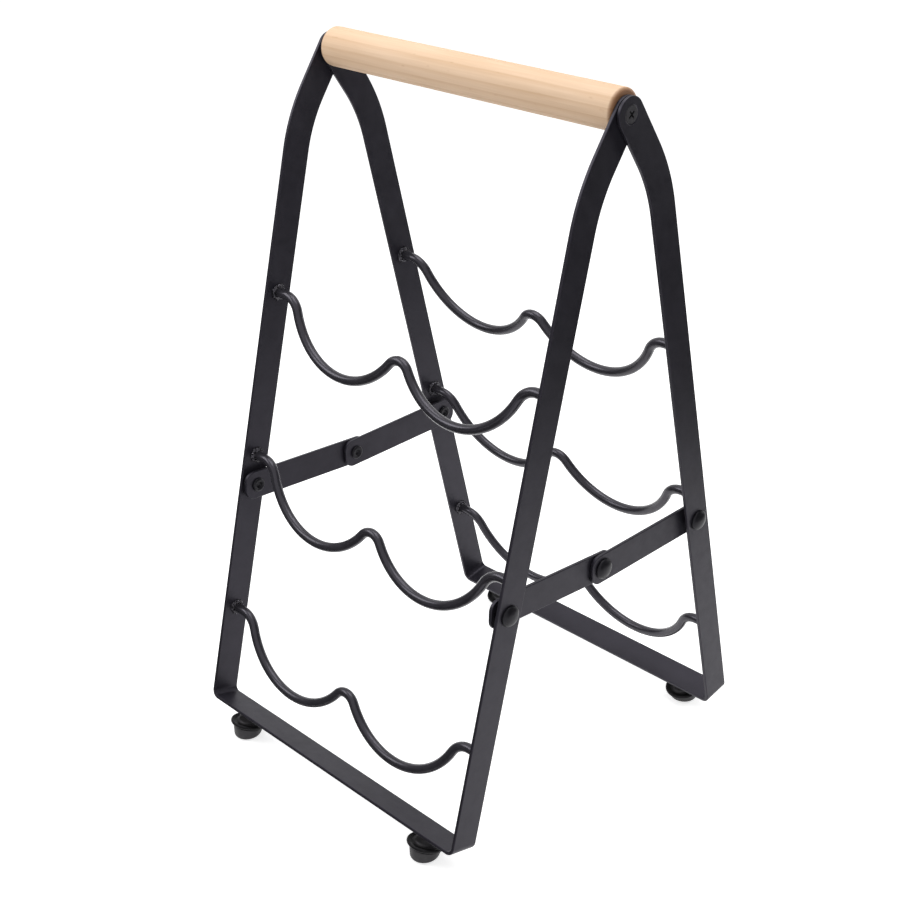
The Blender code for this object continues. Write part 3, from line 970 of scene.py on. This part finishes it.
def makeScrew(name, shape):
    # head towards -X, its face at X = 0
    depth = rack["barThickness"] - rack["fitGap"]
    edge = shape["headEdge"]
    faceShare, cornerShare = shape["edgeInShares"]
    piece = ringByRing(name, shape["sides"], [
        (0.0, shape["headRadius"] - edge * faceShare),
        (edge * shape["edgeDownShare"], shape["headRadius"] - edge * cornerShare),
        (edge, shape["headRadius"]),
        (depth, shape["shankRadius"]),
        (shape["length"] - shape["point"], shape["shankRadius"]),
        (shape["length"], shape["shankRadius"] * shape["pointShare"]),
    ])
    cutters = []
    for turn in (45, -45):
        bpy.ops.object.select_all(action="DESELECT")
        angle = math.radians(turn + shape["recessTurn"])
        size = (shape["recessDepth"] * 2, shape["recessLength"], shape["recessWidth"])
        bpy.ops.mesh.primitive_cube_add(size=1, location=(0, 0, 0), rotation=(angle, 0, 0), scale=size)
        cutter = settle(nameIt("cutter"))
        openMesh(cutter)
        chooseFaces(lambda place, facing: facing.x > facingShare)
        floor = shape["recessFloor"]
        bpy.ops.transform.resize(value=(1, floor, floor), center_override=(shape["recessDepth"], 0, 0))
        closeMesh()
        cutters.append(cutter)
    cutAway(piece, cutters)
    smooth(piece)
    return piece


screwMaster = makeScrew("screwMaster", screw)
screwLeft = copyPiece(screwMaster, "screwLeft", (frameShift - halfLength, 0, rack["apexHeight"]))
screwRight = copyPiece(screwLeft, "screwRight", turn=halfTurn)
finish(screwLeft, screwOxide, "front", "screw_black", "handle_screw_left")
finish(screwRight, screwOxide, "front", "screw_black", "handle_screw_right")
discard(screwMaster)
print("screws ready")


# feet: a neck, a dished top with a thick round rim, a groove, and a cup cut level with the table

foot = {
    "inset": 0.0317,
    "sides": 56,
    "neckRadius": 0.0069,
    "neckEdge": 0.0004,
    "neckLength": 0.0056,
    "filletRadius": 0.0018,
    "filletSteps": 6,
    "dishRadius": 0.0094,
    "dishEdge": 0.0003,
    "rimRadius": 0.0126,
    "rimDrop": 0.0066,
    "rimThickness": 0.003,
    "rimTurn": (150.0, 20.0),
    "rimSteps": 11,
    "rimShadeOver": 0.0005,
    "grooveDepth": 0.0009,
    "grooveLipShare": 0.3,
    "grooveTop": 0.0002,
    "grooveFloor": 0.0007,
    "grooveEnd": 0.0011,
    "cupRadius": 0.0105,
    "cupTaper": 0.2,
    "cupLength": 0.02,
    "soleRound": 0.0026,
    "soleSteps": 7,
}


def makeFoot(name, shape):
    # turned with its drop along X, then stood under the leaning bar and cut at the table
    gap = rack["fitGap"]
    rimHalf = shape["rimThickness"] / 2
    rimMiddle = shape["rimDrop"] + rimHalf
    fillet = shape["filletRadius"]
    edge = shape["neckEdge"]
    rings = [(gap, shape["neckRadius"] - edge), (gap + edge, shape["neckRadius"])]
    bend(rings, (shape["neckLength"], shape["neckRadius"] + fillet), fillet, -90, 0, shape["filletSteps"])
    rings.append((shape["neckLength"] + fillet, shape["dishRadius"] - shape["dishEdge"]))
    bend(rings, (rimMiddle, shape["rimRadius"] - rimHalf), rimHalf, *shape["rimTurn"], shape["rimSteps"])
    groove = shape["rimDrop"] + shape["rimThickness"]
    cup = shape["cupRadius"]
    rings.append((groove, cup - shape["grooveDepth"] * shape["grooveLipShare"]))
    rings.append((groove + shape["grooveTop"], cup - shape["grooveDepth"]))
    rings.append((groove + shape["grooveFloor"], cup - shape["grooveDepth"]))
    rings.append((groove + shape["grooveEnd"], cup))
    rings.append((groove + shape["cupLength"], cup - shape["cupTaper"] * shape["cupLength"]))
    piece = ringByRing(name, shape["sides"], rings)
    piece.rotation_euler = quarterTurn
    settle(piece)
    piece.rotation_euler = (-lean, 0, 0)
    piece.location = onLeg(0, -rack["barThickness"])
    settle(piece)
    openMesh(piece)
    bpy.ops.mesh.select_all(action="SELECT")
    bpy.ops.mesh.bisect(plane_co=(0, 0, 0), plane_no=(0, 0, 1), use_fill=True, clear_inner=True)
    chooseEdges(lambda place, way: place.z < seam)
    bpy.ops.mesh.bevel(offset=shape["soleRound"], segments=shape["soleSteps"], affect="EDGES")
    bpy.ops.mesh.select_all(action="SELECT")
    bpy.ops.mesh.normals_make_consistent(inside=False)
    piece.data.materials.append(footRubber)
    piece.data.materials.append(paintedRimShade)

    # painted shade: all above the groove that is farther out than the dish gets a darker copy of the foot's
    # rubber, standing in for the shade on the rim
    rimEnd = onLeg(0, -rack["barThickness"] - groove)
    downward = (onLeg(0, -1) - onLeg(0, 0)).normalized()
    rimStart = shape["dishRadius"] - shape["rimShadeOver"]
    chooseFaces(lambda place, facing: (place - rimEnd).dot(downward) < 0
                and (place - rimEnd).cross(downward).length > rimStart)
    piece.active_material_index = 1
    bpy.ops.object.material_slot_assign()
    closeMesh()
    smooth(piece)
    return piece


footMaster = makeFoot("footMaster", foot)
footX = halfLength - foot["inset"]
footFrontLeft = copyPiece(footMaster, "footFrontLeft", (frameShift - footX, 0, 0))
footFrontRight = copyPiece(footMaster, "footFrontRight", (frameShift + footX, 0, 0))
footRearRight = copyPiece(footFrontLeft, "footRearRight", turn=halfTurn)
footRearLeft = copyPiece(footFrontRight, "footRearLeft", turn=halfTurn)
finish(footFrontLeft, footRubber, "front", "foot_rubber", "front_foot_left")
finish(footFrontRight, footRubber, "front", "foot_rubber", "front_foot_right")
finish(footRearRight, footRubber, "rear", "foot_rubber", "rear_foot_right")
finish(footRearLeft, footRubber, "rear", "foot_rubber", "rear_foot_left")
discard(footMaster)

# the studs in the feet keep their own shape and get zinc
for studName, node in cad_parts.items():
    if "stud" in studName:
        for slot in node.material_slots:
            slot.material = zincPlate
print("feet ready")


# floor, dark cards, lamps and camera

floorLook = {
    "size": 14.0,
    "colour": (0.82, 0.82, 0.82),
    "lift": 1.01,
    "grainScale": 40.0,
    "rough": 0.9,
    "glow": 0.66,
}


def seenDirectly(tree):
    # 1 for rays that come from the camera, a gloss or a glass, so that all of them see the pale set
    path = addNode(tree, "ShaderNodeLightPath")
    first = addNode(tree, "ShaderNodeMath", operation="MAXIMUM")
    second = addNode(tree, "ShaderNodeMath", operation="MAXIMUM")
    tree.links.new(path.outputs["Is Camera Ray"], first.inputs[0])
    tree.links.new(path.outputs["Is Glossy Ray"], first.inputs[1])
    tree.links.new(first.outputs[0], second.inputs[0])
    tree.links.new(path.outputs["Is Transmission Ray"], second.inputs[1])
    return second.outputs[0]


def paperTone(tree, look):
    # a faint grain between the colour and a lifted one
    lifted = tuple(part * look["lift"] for part in look["colour"])
    return ramp(tree, noise(tree, look["grainScale"]), [(noiseLow, look["colour"]), (noiseHigh, lifted)])


def makeFloor(look):
    bpy.ops.object.select_all(action="DESELECT")
    bpy.ops.mesh.primitive_plane_add(size=look["size"])
    floor = nameIt("floor")
    material, tree, shader = newMaterial("palePaper")
    tree.links.new(paperTone(tree, look), shader.inputs["Base Color"])
    shader.inputs["Roughness"].default_value = look["rough"]
    shader.inputs["Specular IOR Level"].default_value = 0.0
    shader.inputs["Emission Color"].default_value = (*white, 1.0)
    glow = addNode(tree, "ShaderNodeMath", operation="MULTIPLY")
    glow.inputs[1].default_value = look["glow"]
    tree.links.new(seenDirectly(tree), glow.inputs[0])
    tree.links.new(glow.outputs[0], shader.inputs["Emission Strength"])
    floor.data.materials.append(material)


makeFloor(floorLook)

# dark cards past the right end, low at the front left and on the floor there, which only gloss sees
cardPaper = {"lift": 1.2, "grainScale": 40.0}
cards = [
    {
        "name": "rightCard",
        "place": (0.46, 0.32, 0.5),
        "turn": (90.0, 0.0, -46.0),
        "size": (1.3, 1.0),
        "colour": (0.07, 0.0685, 0.078),
    },
    {
        "name": "leftCard",
        "place": (-0.8, -0.8, 0.36),
        "turn": (90.0, 0.0, -45.0),
        "size": (1.9, 0.72),
        "colour": (0.045, 0.0435, 0.05),
    },
    {
        "name": "floorCard",
        "place": (-0.4, -0.502, 0.001),
        "turn": (0.0, 0.0, 0.0),
        "size": (1.05, 0.7),
        "colour": (0.012, 0.0116, 0.0135),
    },
]


def makeCard(look):
    bpy.ops.object.select_all(action="DESELECT")
    turn = tuple(math.radians(degrees) for degrees in look["turn"])
    bpy.ops.mesh.primitive_plane_add(size=1, location=look["place"], rotation=turn)
    card = nameIt(look["name"])
    card.scale = (*look["size"], 1)
    material, tree, shader = newMaterial(look["name"] + "Board")
    tree.links.new(paperTone(tree, {**cardPaper, **look}), shader.inputs["Base Color"])
    shader.inputs["Specular IOR Level"].default_value = 0.0
    card.data.materials.append(material)
    card.visible_camera = False
    card.visible_diffuse = False
    card.visible_transmission = False
    card.visible_shadow = False


for look in cards:
    makeCard(look)

worldLook = {"ambient": 0.45, "background": 1.0}


def makeWorld(look):
    world = bpy.data.worlds.new("studio")
    bpy.context.scene.world = world
    world.use_nodes = True
    tree = world.node_tree
    soft = tree.nodes["Background"]
    soft.inputs["Color"].default_value = (*white, 1.0)
    soft.inputs["Strength"].default_value = look["ambient"]
    seen = addNode(tree, "ShaderNodeBackground", {"Color": (*white, 1.0), "Strength": look["background"]})
    mix = addNode(tree, "ShaderNodeMixShader")
    tree.links.new(seenDirectly(tree), mix.inputs["Fac"])
    tree.links.new(soft.outputs[0], mix.inputs[1])
    tree.links.new(seen.outputs[0], mix.inputs[2])
    tree.links.new(mix.outputs[0], tree.nodes["World Output"].inputs["Surface"])


makeWorld(worldLook)

lamps = [
    {"name": "overhead", "place": (-0.15, 0.1, 1.5), "target": (0, 0, 0.2), "size": 0.9, "energy": 10.0},
    {"name": "frontLeft", "place": (-1.1, -1.0, 1.2), "target": (0, 0, 0.2), "size": 0.9, "energy": 11.0},
    {"name": "rearRight", "place": (0.3, 1.35, 0.4), "target": (0, 0, 0.2), "size": 0.5, "energy": 7.0},
]


def makeLamp(look):
    place = Vector(look["place"])
    aim = (Vector(look["target"]) - place).to_track_quat("-Z", "Y").to_euler()
    bpy.ops.object.light_add(type="AREA", location=place, rotation=aim)
    lamp = nameIt(look["name"])
    lamp.data.shape = "SQUARE"
    lamp.data.size = look["size"]
    lamp.data.energy = look["energy"]


for look in lamps:
    makeLamp(look)

camera = {
    "place": (0.668626, -0.652976, 0.659519),
    "azimuth": 46.798,
    "elevation": 29.139,
    "roll": -0.675,
    "lens": 63.029,
    "shift": (0.0091, 0.1077),
    "sensor": 36.0,
    "farthest": 50.0,
}


def makeCamera(look):
    bpy.ops.object.camera_add()
    shot = nameIt("shot")
    turn = Matrix.Rotation(math.radians(look["azimuth"]), 4, "Z")
    tip = Matrix.Rotation(math.radians(90 - look["elevation"]), 4, "X")
    roll = Matrix.Rotation(math.radians(look["roll"]), 4, "Z")
    shot.matrix_world = Matrix.Translation(look["place"]) @ turn @ tip @ roll
    shot.data.lens = look["lens"]
    shot.data.sensor_width = look["sensor"]
    shot.data.shift_x, shot.data.shift_y = look["shift"]
    shot.data.clip_end = look["farthest"]
    bpy.context.scene.camera = shot


makeCamera(camera)
bpy.context.scene.view_settings.view_transform = "Standard"
print("studio ready")
